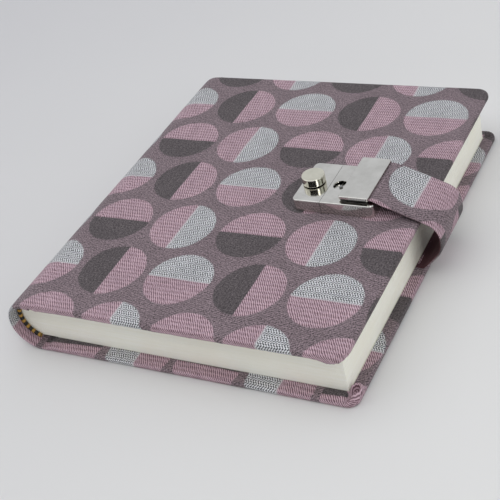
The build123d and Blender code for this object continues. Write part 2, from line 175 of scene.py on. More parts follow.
# The cloth: a lattice of dots, each split into two of three colours. Its coordinates are
# the flat cloth's own, in millimetres, kept in a UV layer.
DOT_RADIUS = 14.8
CELL_X = 66.1
CELL_Y = 63.5
ROW_A = 1.8
ROW_B = 33.5
COLUMNS = {"silver_pink": -5.5, "dark_pink": 27.7, "pink_dark": 11.7, "pink_silver": 44.3}

# Distances between threads, in millimetres, and the way that the pink rows lie.
WARP_PITCH = 0.62
WEFT_PITCH = 0.56
TWILL_PITCH = 1.15
PINK_PITCH = 0.8
PINK_WAY = (0.823, 0.568)
PINK_BAND_PITCH = 2.2
CHEVRON_PITCH = 1.12
CHEVRON_LEAN = 0.75
CHEVRON_TURN = 1.7
SILVER_WEFT_PITCH = 1.05

# Dark and light threads of each area, in screen values.
GROUND_TONES = ((45, 37, 39), (160, 141, 147))
DARK_TONES = ((42, 37, 38), (116, 107, 109))
PINK_TONES = ((104, 76, 85), (211, 181, 191))
SILVER_TONES = ((42, 43, 47), (228, 228, 230))
SPLIT_LINE_TONE = (214, 210, 212)


def cloth(name):
    """Jacquard cloth in a greyed mauve, with its dots, threads and sheen."""
    g = Graph(name)
    where = g.uv("cloth")
    wobble = g.split(g.noise(where, 0.05, 1.0, colour=True))
    uv = g.split(where)
    u = g.math("MULTIPLY_ADD", g.math("SUBTRACT", wobble[0], 0.5), 1.2, uv[0])
    v = g.math("MULTIPLY_ADD", g.math("SUBTRACT", wobble[1], 0.5), 1.2, uv[1])
    slow = g.noise(where, 0.45, 2.0)

    def threads(across_u, across_v, pitch, drift):
        """A run of threads: a wave from -1 to 1 across them, which drifts a little."""
        place = g.math("MULTIPLY_ADD", u, across_u, g.math("MULTIPLY", v, across_v))
        place = g.math("MULTIPLY_ADD", slow, drift, place)
        return g.math("SINE", g.math("MULTIPLY", place, 2 * math.pi / pitch))

    def centred(level):
        return g.math("SUBTRACT", level, 0.5)

    warp = threads(1.0, 0.0, WARP_PITCH, 0.5)
    weft = threads(0.0, 1.0, WEFT_PITCH, 0.5)
    plain_weave = g.math("MULTIPLY", warp, weft)
    slub_u = g.noise(g.join(u, g.math("MULTIPLY", v, 0.16), 0.0), 1.5, 3.0, 0.7)
    slub_v = g.noise(g.join(g.math("MULTIPLY", u, 0.16), v, 0.0), 1.5, 3.0, 0.7)
    speck = g.noise(where, 1.25, 3.0, 0.75)
    cloud = g.noise(where, 0.07, 2.0, 0.5)
    grain = g.noise(where, 1.5, 2.0, 0.75)

    def dot(column, row, across):
        """Inside a dot, on which side of its split line, and how near that line."""
        half_x, half_y = CELL_X / 2, CELL_Y / 2
        dx = g.math("WRAP", g.math("SUBTRACT", u, column), half_x, -half_x)
        dy = g.math("WRAP", g.math("SUBTRACT", v, row), half_y, -half_y)
        squares = g.math("ADD", g.math("MULTIPLY", dx, dx), g.math("MULTIPLY", dy, dy))
        reach = g.math("SQRT", squares)
        ragged = g.layered(reach, (0.16, warp), (0.16, weft), (0.5, slow))
        inside = g.ramp(ragged, DOT_RADIUS + 0.4, DOT_RADIUS + 0.1)
        from_split = g.layered(dx if across else dy, (0.14, weft if across else warp))
        near_split = g.ramp(g.math("ABSOLUTE", from_split), 0.55, 0.2)
        return inside, g.ramp(from_split, -0.1, 0.1), g.math("MULTIPLY", inside, near_split)

    silver_dot, silver_side, silver_line = dot(COLUMNS["silver_pink"], ROW_A, False)
    dark_dot, dark_side, _ = dot(COLUMNS["dark_pink"], ROW_A, True)
    pink_dot, pink_side, _ = dot(COLUMNS["pink_dark"], ROW_B, False)
    pale_dot, pale_side, pale_line = dot(COLUMNS["pink_silver"], ROW_B, True)

    def low(part, side):
        return g.math("MULTIPLY", part, g.math("SUBTRACT", 1.0, side))

    def high(part, side):
        return g.math("MULTIPLY", part, side)

    def either(a, b):
        return g.math("ADD", a, b, clamp=True)

    silver_part = either(high(silver_dot, silver_side), high(pale_dot, pale_side))
    dark_part = either(low(dark_dot, dark_side), low(pink_dot, pink_side))
    pink_part = either(either(low(silver_dot, silver_side), high(dark_dot, dark_side)),
                       either(high(pink_dot, pink_side), low(pale_dot, pale_side)))
    split_line = either(silver_line, pale_line)

    # Each area's colour, broken by its threads.
    twill = threads(0.6, -0.8, TWILL_PITCH, 0.6)
    ground_level = g.layered(grain, (0.25, slub_v), (0.10, plain_weave), (0.05, twill))
    ground = g.tone(ground_level, 0.47, 0.76, GROUND_TONES)
    dark_level = g.layered(grain, (0.35, slub_u), (0.08, plain_weave))
    dark = g.tone(dark_level, 0.52, 0.86, DARK_TONES)
    pink_level = g.layered(threads(*PINK_WAY, PINK_PITCH, 0.9), (2.4, centred(slub_v)),
                           (1.6, centred(speck)), (0.3, threads(0.0, 1.0, PINK_BAND_PITCH, 0.9)))
    pink = g.tone(pink_level, -0.9, 0.8, PINK_TONES)
    zigzag = g.math("MULTIPLY_ADD", g.math("PINGPONG", v, CHEVRON_TURN), CHEVRON_LEAN, u)
    chevron = g.math("SINE", g.math("MULTIPLY", zigzag, 2 * math.pi / CHEVRON_PITCH))
    silver_level = g.layered(g.math("MULTIPLY", chevron, 0.8),
                             (0.5, threads(0.0, 1.0, SILVER_WEFT_PITCH, 0.5)),
                             (2.2, centred(grain)), (1.4, centred(slub_u)))
    silver = g.tone(silver_level, -0.65, 0.6, SILVER_TONES)

    colour = g.mix(dark_part, ground, dark)
    colour = g.mix(pink_part, colour, pink)
    colour = g.mix(silver_part, colour, silver)
    colour = g.mix(g.math("MULTIPLY", split_line, 0.55), colour, rgb(*SPLIT_LINE_TONE))
    shade = g.nodes.new("ShaderNodeHueSaturation")
    g.put(shade.inputs["Value"], g.ramp(cloud, 0.3, 0.7, 0.93, 1.07))
    g.put(shade.inputs["Color"], colour)

    height = g.layered(speck, (0.5, slub_u), (0.25, plain_weave),
                       (0.3, g.math("MULTIPLY", pink_level, pink_part)),
                       (0.3, g.math("MULTIPLY", silver_level, silver_part)),
                       (0.5, g.math("ADD", pink_part, silver_part)))
    rough = g.math("MULTIPLY_ADD", silver_part, -0.3, 0.86)
    return g.finish(shade.outputs[0], rough, g.bump(height, 0.16 * MM, 0.8), Sheen_Weight=0.1,
                    Sheen_Roughness=0.5, Specular_IOR_Level=0.3)


def paper(name):
    """Cream paper whose cut edges show as fine uneven lines."""
    g = Graph(name)
    xyz = g.split(g.object_coords())
    layers = g.join(g.math("MULTIPLY", xyz[0], 0.012), g.math("MULTIPLY", xyz[1], 0.012), xyz[2])
    fine = g.noise(layers, 9000.0, 2.0, 0.7)
    coarse = g.noise(layers, 1400.0, 2.0, 0.6)
    cloud = g.noise(g.object_coords(), 45.0, 3.0, 0.6)
    value = g.math("MULTIPLY_ADD", fine, 0.55, g.math("MULTIPLY", coarse, 0.45))
    colour = g.tone(value, 0.36, 0.62, ((249, 247, 233), (253, 252, 243)))
    colour = g.mix(g.ramp(cloud, 0.4, 0.7, 0.0, 0.3), colour, rgb(246, 240, 221))
    return g.finish(colour, 0.86, g.bump(value, 0.05 * MM, 0.25), Specular_IOR_Level=0.25)


def nickel(name, tint, rough):
    """Polished nickel plate with faint wipe marks."""
    g = Graph(name)
    where = g.object_coords()
    marks = g.noise(where, 900.0, 4.0, 0.6)
    smear = g.noise(where, 120.0, 3.0, 0.55)
    wiped = g.layered(smear, (0.35, marks))
    tones = ([t - 8 for t in tint], [t + 8 for t in tint])
    return g.finish(g.tone(smear, 0.35, 0.7, tones),
                    g.ramp(wiped, 0.4, 0.95, rough * 0.75, rough * 1.7),
                    g.bump(g.math("ADD", marks, smear), 0.02 * MM, 0.25), 1.0)


def plain(name, colour, rough, grain, spread, metallic=0.0, depth=0.04 * MM):
    """A quiet material with a grain of its own, for inner pieces and threads."""
    g = Graph(name)
    speck = g.noise(g.object_coords(), grain, 4.0, 0.65)
    tones = ([max(0, c - spread) for c in colour], [min(255, c + spread) for c in colour])
    return g.finish(g.tone(speck, 0.35, 0.65, tones),
                    g.ramp(speck, 0.3, 0.7, rough * 0.85, min(1.0, rough * 1.1)),
                    g.bump(speck, depth, 0.5), metallic)


cover_cloth = cloth("cover_cloth")
strap_cloth = cloth("strap_cloth")
page_paper = paper("page_paper")
lock_nickel = nickel("lock_nickel", (211, 209, 203), 0.1)
knob_nickel = nickel("knob_nickel", (222, 219, 203), 0.06)
steel = plain("inner_steel", (150, 150, 148), 0.38, 700.0, 10, 1.0)
grey_board = plain("grey_board", (150, 142, 126), 0.95, 900.0, 14)
thin_card = plain("thin_card", (176, 166, 142), 0.95, 900.0, 10)
endpaper = plain("endpaper", (224, 221, 207), 0.9, 1500.0, 4)
lining = plain("lining", (214, 210, 198), 0.95, 2500.0, 18)
# Painted shade: the strap's underside is the same cloth as its top, dark only from the shadow
# inside its loop; this plain dark wine colour stands in for that shadow.
strap_painted_shade = plain("strap_painted_shade", (78, 42, 50), 0.95, 1800.0, 16)
band_gold = plain("band_gold", (176, 134, 50), 0.6, 2600.0, 26, 0.0, 0.1 * MM)
band_black = plain("band_black", (15, 13, 12), 0.6, 2600.0, 12, 0.0, 0.1 * MM)

for look, nodes in (
    (grey_board, ("back_board",)),
    (thin_card, ("back_infill", "front_infill", "spine_card", "strap_stiffener")),
    (endpaper, ("back_pastedown", "front_pastedown")),
    (lining, ("mull", "sewing_tapes")),
    (lock_nickel, ("lock_case", "release_slide", "hasp_plate", "key_cam")),
    (knob_nickel, ("knob",)),
    (steel, ("lock_base", "lock_rivets", "lock_rivet_washers", "key_post", "spring_post",
             "knob_stud", "latch_bolt", "hasp_base", "hasp_hook", "hasp_rivets")),
):
    for node in nodes:
        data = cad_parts[node].data
        data.materials.clear()
        data.materials.append(look)


# The pattern lies a little askew on the case. It is stretched toward the tail, bowed on
# the back cover and drawn in at the front cover's far corner. All in millimetres.
SKEW = 0.011
SKEW_FROM = -55.0
STRETCH = 0.0004
STRETCH_FROM = -10.0
BACK_BOW = 2.6
BACK_REACH = 130.0
DRAWN_ALONG = 145.0
DRAWN_FROM = 20.0
DRAWN_ACROSS = 70.0
DRAWN_SLANT = 1.5


def cloth_place(along, across):
    """Where a place on the case lies in the flat cloth."""
    pulled = max(0.0, STRETCH_FROM - across)
    behind = max(0.0, -math.pi * spine_r / MM - along) / BACK_REACH
    bow = BACK_BOW * math.sin(math.pi * min(1.0, behind))
    drawn = max(0.0, along / DRAWN_ALONG) * max(0.0, (across - DRAWN_FROM) / DRAWN_ACROSS) ** 2
    along += DRAWN_SLANT * drawn
    return along - SKEW * (across - SKEW_FROM), across + STRETCH * pulled * pulled + bow + drawn


# Mesh building

def make(name, verts, faces, mat, uvs=None, smooth=True):
    """A mesh object from points and faces, with the flat cloth's coordinates if given."""
    mesh = bpy.data.meshes.new(name)
    mesh.from_pydata([tuple(v) for v in verts], [], faces)
    mesh.materials.append(mat)
    if uvs is not None:
        layer = mesh.uv_layers.new(name="cloth")
        for loop in mesh.loops:
            layer.data[loop.index].uv = uvs[loop.vertex_index]
    mesh.validate()
    obj = bpy.data.objects.new(name, mesh)
    bpy.context.scene.collection.objects.link(obj)
    bm = bmesh.new()
    bm.from_mesh(mesh)
    bmesh.ops.recalc_face_normals(bm, faces=bm.faces)
    bm.to_mesh(mesh)
    bm.free()
    for face in mesh.polygons:
        face.use_smooth = smooth
    return obj


def between(value, low=0.0, high=1.0):
    """A value, held between two limits."""
    return max(low, min(high, value))


def grid_faces(rows, count, closed=False, first=0):
    """Faces between rows of points, each of the same count, open or closed into rings."""
    faces = []
    for j in range(rows - 1):
        start = first + j * count
        for i in range(count if closed else count - 1):
            a, b = start + i, start + (i + 1) % count
            faces.append((a, b, b + count, a + count))
    return faces


def end_faces(rows, count):
    """The two faces that close a tube."""
    last = (rows - 1) * count
    return [tuple(range(count)), tuple(last + k for k in range(count))]


def corner_outline(x0, x1, half, tail_r, head_r, step):
    """Points and outward directions round a plate whose fore-edge corners are rounded."""
    arc_steps = 36
    points = []

    def run(a, b, normal):
        count = max(2, int((b - a).length / step))
        for i in range(count):
            points.append((a.lerp(b, i / count), Vector(normal)))

    def turn(centre, radius, start):
        for i in range(arc_steps):
            angle = start + math.pi / 2 * i / arc_steps
            normal = Vector((math.cos(angle), math.sin(angle)))
            points.append((centre + normal * radius, normal))

    run(Vector((x0, -half)), Vector((x1 - tail_r, -half)), (0, -1))
    turn(Vector((x1 - tail_r, tail_r - half)), tail_r, -math.pi / 2)
    run(Vector((x1, tail_r - half)), Vector((x1, half - head_r)), (1, 0))
    turn(Vector((x1 - head_r, half - head_r)), head_r, 0)
    run(Vector((x1 - head_r, half)), Vector((x0, half)), (0, 1))
    return points


def uneven(x, y, size, seed):
    """A gentle uneven height, within plus or minus one."""
    return noise.noise(Vector((x / size, y / size, seed)))


# Covers

# The roll of the cloth round an edge, its depth where it has no board, how far from the
# joint a cover has its full thickness, and the share of it that the front has at the joint.
ROLL = 1.15 * MM
LIP = 1.2 * MM
BOARD_START = 3.5 * MM
JOINT_SHARE = 0.35

# Steps of an edge: arcs on the face's side and on the inner side, and places on the turn-in
# (millimetres inward). The first rings of an edge share the face's unevenness.
FACE_ARC = 5
UNDER_ARC = 3
TURN_IN = (0.5, 1.1, 1.7, 2.3, 2.9, 3.6, 4.4, 5.4, 6.6, 8.0, 14.0)
UNEVEN_RINGS = 4

# Stations of a cover, in metres: close together near the joint, where the cloth bends.
JOINT_STEP = 0.0006
JOINT_STATIONS = 10
JOINT_REACH = 0.0062
RIM_STEP = 1.6 * MM
FACE_STEP = 2.0 * MM

# The cloth's relief on a cover, in millimetres, and the part of an edge's depth in which
# the pleats and tucks of the inner side begin.
RIPPLE = 0.04
DIP = 0.16
PLEAT = 0.4
PLEAT_COUNT = 20
GATHER_FROM = 0.6
GATHER_RUN = 0.35

# Corner radii at the tail and the head: the front cover's cloth, which is worn round, the
# board under it, and the back cover's cloth.
FRONT_RADII = (6.8 * MM, 6.4 * MM)
FRONT_CARD_RADII = (6.4 * MM, 6.0 * MM)
BACK_RADII = (5.0 * MM, 5.3 * MM)

# Loose folds on the inner sides: place in x and y, reach in x and y, height. Millimetres.
FRONT_TUCKS = (
    (front_edge / MM - 7.5, -89.9, 4.0, 1.2, 2.0),
    (0.0, -89.7, 80.0, 1.5, 1.5),
    (-68.0, -89.7, 10.0, 1.6, 1.1),
    (73.2, 0.0, 1.4, 95.0, 1.0),
)
BACK_TUCKS = (
    (back_edge / MM - 7.0, -88.2, 1.0, 1.1, 0.7),
    (back_edge / MM - 10.5, -88.0, 0.9, 1.0, 0.6),
)

# The curled fold: its patch of cloth, the radius and height of its ridge, how narrow it is
# in x, and the angle at which the ridge is open. Millimetres and radians.
CURL_X = (-2.9, 2.2)
CURL_Y = (-4.6, 4.6)
CURL_RADIUS = 2.9
CURL_HEIGHT = 2.2
CURL_SUNK = 0.12
CURL_NARROW = 1.6
CURL_OPEN = -2.3
CURL_OPEN_WIDTH = 0.6
CURL_RIPPLES = 9
CURL_STEPS = 48


def edge_profile(thick):
    """From the face round a cloth-covered edge: steps outward, down, and along the cloth."""
    drop = min(ROLL, thick * 0.46)
    profile = []
    for i in range(FACE_ARC + 1):
        angle = math.pi / 2 * i / FACE_ARC
        profile.append((ROLL * math.sin(angle), drop * (1 - math.cos(angle)), ROLL * angle))
    arc = ROLL * math.pi / 2
    under = drop * 0.8
    side = thick - under
    profile.append((ROLL, (drop + side) / 2, arc + (side - drop) / 2))
    profile.append((ROLL, side, arc + side - drop))
    arc += side - drop
    for i in range(1, UNDER_ARC + 1):
        angle = math.pi / 2 * i / UNDER_ARC
        profile.append((ROLL - under * (1 - math.cos(angle)), side + under * math.sin(angle),
                        arc + under * angle))
    arc += under * math.pi / 2
    for inward in TURN_IN:
        profile.append((ROLL - under - inward * MM, thick, arc + inward * MM))
    return profile


def curled_fold(verts, uvs, faces, centre_x, centre_y, face_z):
    """A loose fold of cloth, curled round on itself, that stands up from a corner's turn-in."""
    first = len(verts)
    rim_x = back_edge - ROLL
    for j in range(CURL_STEPS + 1):
        for i in range(CURL_STEPS + 1):
            dx = CURL_X[0] + (CURL_X[1] - CURL_X[0]) * i / CURL_STEPS
            dy = CURL_Y[0] + (CURL_Y[1] - CURL_Y[0]) * j / CURL_STEPS
            reach = math.hypot(dx * CURL_NARROW, dy)
            angle = math.atan2(dy, dx * CURL_NARROW)
            open_side = math.exp(-((angle - CURL_OPEN) / CURL_OPEN_WIDTH) ** 2)
            ridge = math.exp(-(reach - CURL_RADIUS) ** 2) * (1 - 0.9 * open_side)
            height = CURL_HEIGHT * ridge * (1 + 0.12 * math.cos(CURL_RIPPLES * angle)) - CURL_SUNK
            x = centre_x + dx * MM
            past = between(x - rim_x, 0.0, ROLL * 0.99)
            drop = ROLL - math.sqrt(ROLL * ROLL - past * past)
            verts.append(Vector((x, centre_y + dy * MM, face_z + height * MM - drop)))
            uvs.append((COLUMNS["silver_pink"] + PINK_WAY[0] * reach,
                        ROW_A - 6.0 + PINK_WAY[1] * reach))
    faces += grid_faces(CURL_STEPS + 1, CURL_STEPS + 1, first=first)


def cover(name, x1, z_face, z_inner, flip, nodes, radii, tucks, curl=None):
    """One cover's cloth: face, rounded edges and turn-ins, over the boards.

    Flip is for the back cover, whose face lies below. Curl is the place of a curled fold.
    """
    sign = 1 if z_face > z_inner else -1
    full = abs(z_face - z_inner)
    x0 = hinge_x
    core_x1, core_half = x1 - ROLL, half_height - ROLL
    tail_r, head_r = radii[0] - ROLL, radii[1] - ROLL
    fine = [x0 + JOINT_STEP * i for i in range(JOINT_STATIONS)]
    edge = corner_outline(x0, core_x1, core_half, tail_r, head_r, RIM_STEP)
    edge = [pair for pair in edge if pair[0].x > x0 + JOINT_REACH]
    edge = ([(Vector((x, -core_half)), Vector((0, -1))) for x in fine] + edge
            + [(Vector((x, core_half)), Vector((0, 1))) for x in reversed(fine)])
    count = len(edge)

    def flat(x):
        """How far along the flat cloth a place on the cover lies."""
        along = (x - spine_x) / MM
        return along if not flip else -math.pi * spine_r / MM - along

    def past_corner(x, y):
        """How far a place is past the middle of its corner's arc, and the arc's radius."""
        core_r = head_r if y > 0 else tail_r
        return x - (core_x1 - core_r), abs(y) - (core_half - core_r), core_r

    def rise(x, y):
        """Small unevenness of the cloth over its board, none at the joint."""
        fade = between((x - x0) / (8 * MM))
        inset = between(min(core_x1 - x, core_half - abs(y), x - x0) / (30 * MM))
        dip = DIP * inset * (0.5 + 0.5 * uneven(x, y, 0.07, 2.0))
        return sign * MM * fade * (RIPPLE * uneven(x, y, 0.02, 1.0) - dip)

    def gather(x, y):
        """How far the inner side stands out: pleats round the corners, and loose tucks."""
        height = 0.0
        dx, dy, core_r = past_corner(x, y)
        if dx > 0 and dy > 0:
            inner = 1 - math.hypot(dx, dy) / (core_r + ROLL)
            pleat = 0.5 + 0.5 * math.cos(PLEAT_COUNT * math.atan2(dy, dx))
            height += PLEAT * pleat * math.sin(math.pi * between(inner * 1.2))
        for place_x, place_y, reach_x, reach_y, tall in tucks:
            away = ((x / MM - place_x) / reach_x) ** 2 + ((y / MM - place_y) / reach_y) ** 2
            height += tall * math.exp(-away) * (1 + 0.25 * uneven(x, y, 0.0016, 4.0))
        return height * MM

    # The edge, ring by ring, from the face to the end of the turn-in.
    verts, uvs = [], []
    profiles = []
    for point, _ in edge:
        share = between((point.x - x0) / BOARD_START)
        share = share * share * (3 - 2 * share)
        if not flip:
            share = JOINT_SHARE + (1 - JOINT_SHARE) * share
        profiles.append(edge_profile(LIP + (full - LIP) * share))
    rings = len(profiles[0])
    for ring in range(rings):
        for (point, normal), profile in zip(edge, profiles):
            out, down, length = profile[ring]
            x = point.x + normal.x * out
            y = point.y + normal.y * out
            if out < 0:
                x = between(x, x0, core_x1 + out)
                y = between(y, -core_half - out, core_half + out)
            z = z_face - sign * down
            if ring < UNEVEN_RINGS:
                z += rise(x, y)
            depth = down / profile[-1][1]
            if depth > GATHER_FROM:
                z -= sign * gather(x, y) * min(1.0, (depth - GATHER_FROM) / GATHER_RUN)
            verts.append(Vector((x, y, z)))
            fx, fy = point.x + normal.x * length, point.y + normal.y * length
            uvs.append(cloth_place(flat(fx), fy / MM))
    faces = grid_faces(rings, count)

    # The face: triangles over the edge's first ring and a lattice of places inside it.
    across = int((core_x1 - x0 - JOINT_REACH) / FACE_STEP) + 1
    wide = [x0 + JOINT_REACH + FACE_STEP * i for i in range(across)]
    columns = fine[1:] + [x for x in wide if core_x1 - x >= FACE_STEP * 0.3]
    rows = int(2 * core_half / FACE_STEP)
    inner = []
    for x in columns:
        for j in range(1, rows):
            y = -core_half + 2 * core_half * j / rows
            dx, dy, core_r = past_corner(x, y)
            if dx > 0 and dy > 0 and math.hypot(dx, dy) > core_r - FACE_STEP * 0.4:
                continue
            inner.append(Vector((x, y)))
    border = [(i, (i + 1) % count) for i in range(count)]
    places, _, triangles, origins = geometry.delaunay_2d_cdt(
        [point for point, _ in edge] + inner, border, [], 1, 1e-7)[:4]
    remap = []
    for place, origin in zip(places, origins):
        source = [i for i in origin if i < count]
        if source:
            remap.append(source[0])
            continue
        remap.append(len(verts))
        verts.append(Vector((place.x, place.y, z_face + rise(place.x, place.y))))
        uvs.append(cloth_place(flat(place.x), place.y / MM))
    for triangle in triangles:
        faces.append(tuple(remap[i] for i in triangle))
    if curl:
        curled_fold(verts, uvs, faces, *curl)
    piece = make(name, verts, faces, cover_cloth, uvs)
    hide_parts(*nodes)
    return piece


front_cloth = cover("front_cloth", front_edge, top, top - stack + 0.15 * MM, False,
                    ["front_cover_cloth"], FRONT_RADII, FRONT_TUCKS)
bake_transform(front_cloth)
back_cloth = cover("back_cloth", back_edge, 0.0, stack, True,
                   ["back_cover_cloth"], BACK_RADII, BACK_TUCKS,
                   curl=(back_edge - 2.4 * MM, -84.9 * MM, stack))
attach(back_cloth, "book")


def front_card():
    """The front board, worn round at its two corners like the cloth over it."""
    low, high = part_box("front_board")
    edge = corner_outline(low.x, high.x, high.y, *FRONT_CARD_RADII, 4 * MM)
    count = len(edge)
    verts = [Vector((point.x, point.y, z)) for z in (low.z, high.z) for point, _ in edge]
    faces = grid_faces(2, count, closed=True) + end_faces(2, count)
    piece = make("front_card", verts, faces, grey_board, smooth=False)
    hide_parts("front_board")
    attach(piece, "front_cover")


front_card()


# The spine cloth's folded ends: how much deeper they hang at the front joint, how far round
# the spine that fades, where in y it begins and how soon it is full. Millimetres.
HANG = 1.9
HANG_FADE = 12.0
HANG_FROM = 87.2
HANG_RUN = 1.2


def spine_piece():
    """The cloth round the spine, from joint to joint, with its folded ends."""
    flat_steps, arc_steps = 2, 64
    path = []
    for i in range(flat_steps + 1):
        x = hinge_x + (spine_x - hinge_x) * i / flat_steps
        path.append((x, top, 0.0, 1.0, (x - spine_x) / MM))
    for i in range(1, arc_steps):
        angle = math.pi * i / arc_steps
        path.append((spine_x - spine_r * math.sin(angle), mid_z + spine_r * math.cos(angle),
                     -math.sin(angle), math.cos(angle), -spine_r * angle / MM))
    for i in range(flat_steps + 1):
        x = spine_x + (hinge_x - spine_x) * i / flat_steps
        path.append((x, 0.0, 0.0, -1.0, (-math.pi * spine_r - (x - spine_x)) / MM))
    profile = edge_profile(LIP)
    core = half_height - ROLL
    rows = [(-(core + out), down, -(core + length)) for out, down, length in reversed(profile)]
    count = int(2 * core / (2.2 * MM))
    for i in range(1, count):
        y = -core + 2 * core * i / count
        rows.append((y, 0.0, y))
    rows += [(core + out, down, core + length) for out, down, length in profile]
    verts, uvs = [], []
    for y, down, across in rows:
        outside = between((abs(y) / MM - HANG_FROM) / HANG_RUN)
        for x, z, nx, nz, along in path:
            lift = 0.0
            if down == 0:
                lift = 0.10 * MM * uneven(along * MM, y, 0.025, 6.0) * abs(nx)
            hang = HANG * between(1.0 + along / HANG_FADE)
            depth = down * (1 + hang * outside) - lift
            verts.append((x - nx * depth, y, z - nz * depth))
            uvs.append(cloth_place(along, across / MM))
    piece = make("spine_cover", verts, grid_faces(len(rows), len(path)), cover_cloth, uvs)
    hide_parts("spine_cloth")
    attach(piece, "book")


spine_piece()


# Text block: every leaf has its own edge

page_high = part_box("back_section_1")[1]
page_edge = page_high.x
page_half = page_high.y
back_r = max(spine_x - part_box("back_section_5")[0].x, 11.3 * MM)
block_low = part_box("back_flyleaf")[0].z
block_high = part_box("front_flyleaf")[1].z
LEAVES_PER_SECTION = 11
SECTIONS = 5
FOLD_SHORTER = 0.04 * MM

# Where the leaves bend beside the joint, in metres from the hinge.
BEND_BEFORE = 0.002
BEND_STEP = 0.0008
BEND_STATIONS = 22


def leaves(name, z0, z1, seed):
    """Half of the text block as a stack of leaves with slightly uneven edges."""
    rng = random.Random(seed)
    total = LEAVES_PER_SECTION * SECTIONS
    stations = [hinge_x - BEND_BEFORE + BEND_STEP * i for i in range(BEND_STATIONS)]
    verts = []

    def ring(z, fore, tail, head):
        left = spine_x - math.sqrt(max(0.0, back_r ** 2 - (z - mid_z) ** 2))
        xs = [left, (left + stations[0]) / 2] + stations + [page_edge * 0.5, page_edge + fore]
        verts.extend((x, -page_half - tail, z) for x in xs)
        verts.extend((x, page_half + head, z) for x in reversed(xs))
        return 2 * len(xs)

    for i in range(total):
        low = z0 + (z1 - z0) * i / total
        high = z0 + (z1 - z0) * (i + 1) / total
        shorter = FOLD_SHORTER if i % LEAVES_PER_SECTION in (0, LEAVES_PER_SECTION - 1) else 0
        fore = rng.uniform(-0.34, -0.24) * MM
        tail = rng.uniform(-0.05, 0.02) * MM - shorter
        head = rng.uniform(-0.05, 0.02) * MM - shorter
        ring(low, fore, tail, head)
        count = ring(high, fore, tail, head)
    faces = grid_faces(2 * total, count, closed=True)
    for base in (0, (2 * total - 1) * count):
        for i in range(count // 2 - 1):
            faces.append((base + i, base + i + 1, base + count - 2 - i, base + count - 1 - i))
    piece = make(name, verts, faces, page_paper, smooth=False)
    return piece


back_half = leaves("back_pages", block_low, mid_z - 0.03 * MM, 3)
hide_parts("back_flyleaf", *[f"back_section_{i}" for i in range(1, 6)])
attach(back_half, "book")
front_half = leaves("front_half_pages", mid_z + 0.03 * MM, block_high, 5)
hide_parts("front_flyleaf", "front_section_folds",
            *[f"front_leaves_{i}" for i in range(1, 6)])
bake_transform(front_half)


# The headbands' cords: an arc of thread stripes, each swollen by its single threads.
BAND = 0.95 * MM
BAND_INSET = 0.55 * MM
BAND_ARC = (math.radians(139), math.radians(250))
BAND_STRIPES = 13
STRIPE_STEPS = 10
STRIPE_THREADS = 3
GOLD_STEPS = 8


def band(name, side, node):
    """A corded headband: thread wound in two colours over a core."""
    ring_r = back_r - BAND_INSET
    steps = BAND_STRIPES * STRIPE_STEPS
    around = 14
    verts = []
    for i in range(steps + 1):
        angle = BAND_ARC[0] + (BAND_ARC[1] - BAND_ARC[0]) * i / steps
        local = (i % STRIPE_STEPS) / STRIPE_STEPS
        swell = BAND * (0.86 + 0.14 * abs(math.sin(math.pi * (local * STRIPE_THREADS))))
        centre = Vector((spine_x + ring_r * math.cos(angle), side * (page_half + BAND),
                         mid_z + ring_r * math.sin(angle)))
        outward = Vector((math.cos(angle), 0, math.sin(angle)))
        for k in range(around):
            turn = 2 * math.pi * k / around
            aside = Vector((0, swell * math.sin(turn), 0))
            verts.append(centre + outward * (swell * 0.95 * math.cos(turn)) + aside)
    faces = grid_faces(steps + 1, around, closed=True) + end_faces(steps + 1, around)
    piece = make(name, verts, faces, band_gold)
    piece.data.materials.append(band_black)
    for i in range(steps):
        if i % (2 * STRIPE_STEPS) >= GOLD_STEPS:
            for k in range(around):
                piece.data.polygons[i * around + k].material_index = 1
    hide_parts(node)
    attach(piece, "book")


band("head_band_cord", 1, "head_band")
band("tail_band_cord", -1, "tail_band")


# Strap: its thickness, the way it rises from the back cover, and the places of its bends

STRAP = 1.1 * MM
RISE = math.radians(50)
strap_mid_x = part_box("strap_bend")[1].x - STRAP / 2
tail_z = stack - 0.03 * MM - STRAP / 2
rise_x = back_edge - 1.3 * MM
plate_low, plate_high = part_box("hasp_plate")
lift_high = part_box("strap_end")[1]
level_z = lift_high.z - STRAP / 2
level_x = plate_high.x + 1.2 * MM
over_z = top + 0.8 * MM + STRAP / 2
slope = math.atan2(level_z - over_z, front_edge - level_x)

# Its width and how much narrower it is at the plate, its middle in y at the fore edge and
# at the plate, the depth of the dent under the plate's edge, and how the pattern lies on
# it. Millimetres.
STRAP_WIDTH = 28.0
STRAP_PINCH = 0.5
PINCH_FROM = -6.0
STRAP_LOW_Y = 1.9
STRAP_TOP_Y = 5.05
PLATE_DENT = 0.8
STRAP_PATTERN = (18.2, 9.5)


